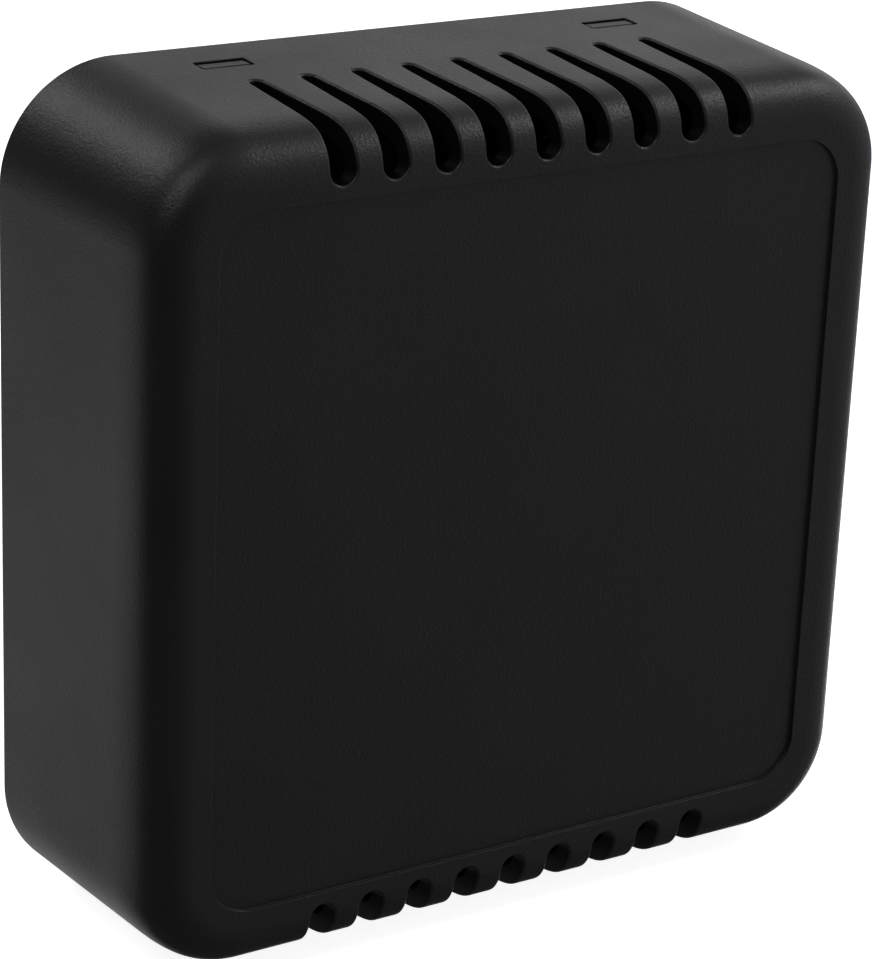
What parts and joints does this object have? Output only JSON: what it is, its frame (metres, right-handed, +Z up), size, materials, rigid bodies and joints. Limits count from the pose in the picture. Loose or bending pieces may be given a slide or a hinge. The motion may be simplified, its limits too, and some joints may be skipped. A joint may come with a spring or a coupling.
{
  "type": "mesh wifi node",
  "caption": "Small square vented wall-mounted wifi node in textured black plastic, with a clip-on cover, slotted top and bottom edges, and a network jack and power inlet on one side.",
  "frame": {"origin": "centre of the back plate's outer face, the plane that lies against the wall", "axes": "+Y into the wall, -Y out of the front panel; +Z up; +X to the right seen from the front, towards the side with the jack, inlet, buttons and light"},
  "size_m": [0.0851, 0.0286, 0.085],
  "materials": {
    "case_black": "fine spark-eroded texture",
    "board_green": "solder mask on glass-epoxy board",
    "chip_black": "moulded epoxy",
    "bright_steel": "nickel plated",
    "tinned_steel": "tin plated sheet",
    "aluminium": "extruded",
    "gold_plate": "gold flash on copper alloy",
    "thermal_pad": "soft silicone pad",
    "jack_black": "moulded",
    "ferrite_grey": "sintered ferrite",
    "clear_acrylic": "clear moulded acrylic",
    "led_white": "white",
    "lead_black": "smooth insulation on coaxial cable",
    "label_silver": "blank polyester label"
  },
  "bodies": {
    "base": {"amplifier_chip": "chip_black", "antenna_lead_left": "lead_black", "antenna_lead_top": "lead_black", "antenna_left": "board_green", "antenna_top": "board_green", "back_plate": "case_black", "board_screw_1": "bright_steel", "board_screw_2": "bright_steel", "board_screw_3": "bright_steel", "board_screw_4": "bright_steel", "capacitor_1": "aluminium", "capacitor_2": "aluminium", "coax_plug_left": "bright_steel", "coax_plug_top": "bright_steel", "coax_socket_left": "gold_plate", "coax_socket_top": "gold_plate", "crystal_can": "bright_steel", "flash_chip": "chip_black", "heat_sink": "aluminium", "heat_sink_pin_1": "jack_black", "heat_sink_pin_2": "jack_black", "jack_contacts": "gold_plate", "jack_shield": "tinned_steel", "line_transformer": "chip_black", "memory_chip": "chip_black", "network_jack": "jack_black", "pair_switch": "jack_black", "power_chip": "chip_black", "power_inductor": "ferrite_grey", "power_inlet_shell": "bright_steel", "power_inlet_tongue": "jack_black", "radio_chip": "chip_black", "radio_shield": "tinned_steel", "rating_label": "label_silver", "reset_switch": "jack_black", "router_board": "board_green", "router_chip": "chip_black", "snap_hook_bottom_left": "case_black", "snap_hook_bottom_right": "case_black", "snap_hook_top_left": "case_black", "snap_hook_top_right": "case_black", "status_light": "led_white", "thermal_pad": "thermal_pad"},
    "cover": {"front_cover": "case_black", "light_pipe": "clear_acrylic"},
    "pair_button": {"pair_button": "case_black"},
    "pair_plunger": {"pair_plunger": "led_white"},
    "reset_plunger": {"reset_plunger": "led_white"}
  },
  "joints": [
    {"name": "cover_slide", "type": "slide", "parent": "base", "child": "cover", "axis": [0, -1, 0], "range_m": [0, 0.035], "deforming": ["snap_hook_bottom_left", "snap_hook_bottom_right", "snap_hook_top_left", "snap_hook_top_right"]},
    {"name": "pair_button_press", "type": "slide", "parent": "cover", "child": "pair_button", "axis": [-1, 0, 0], "range_m": [0, 0.0004], "stiffness_N_per_m": 3000},
    {"name": "pair_plunger_press", "type": "slide", "parent": "base", "child": "pair_plunger", "axis": [-1, 0, 0], "range_m": [0, 0.0004]},
    {"name": "reset_plunger_press", "type": "slide", "parent": "base", "child": "reset_plunger", "axis": [-1, 0, 0], "range_m": [0, 0.0004], "stiffness_N_per_m": 1000}
  ],
  "couplings": [
    {"joint": "pair_plunger_press", "follows": "pair_button_press", "ratio": 1}
  ]
}
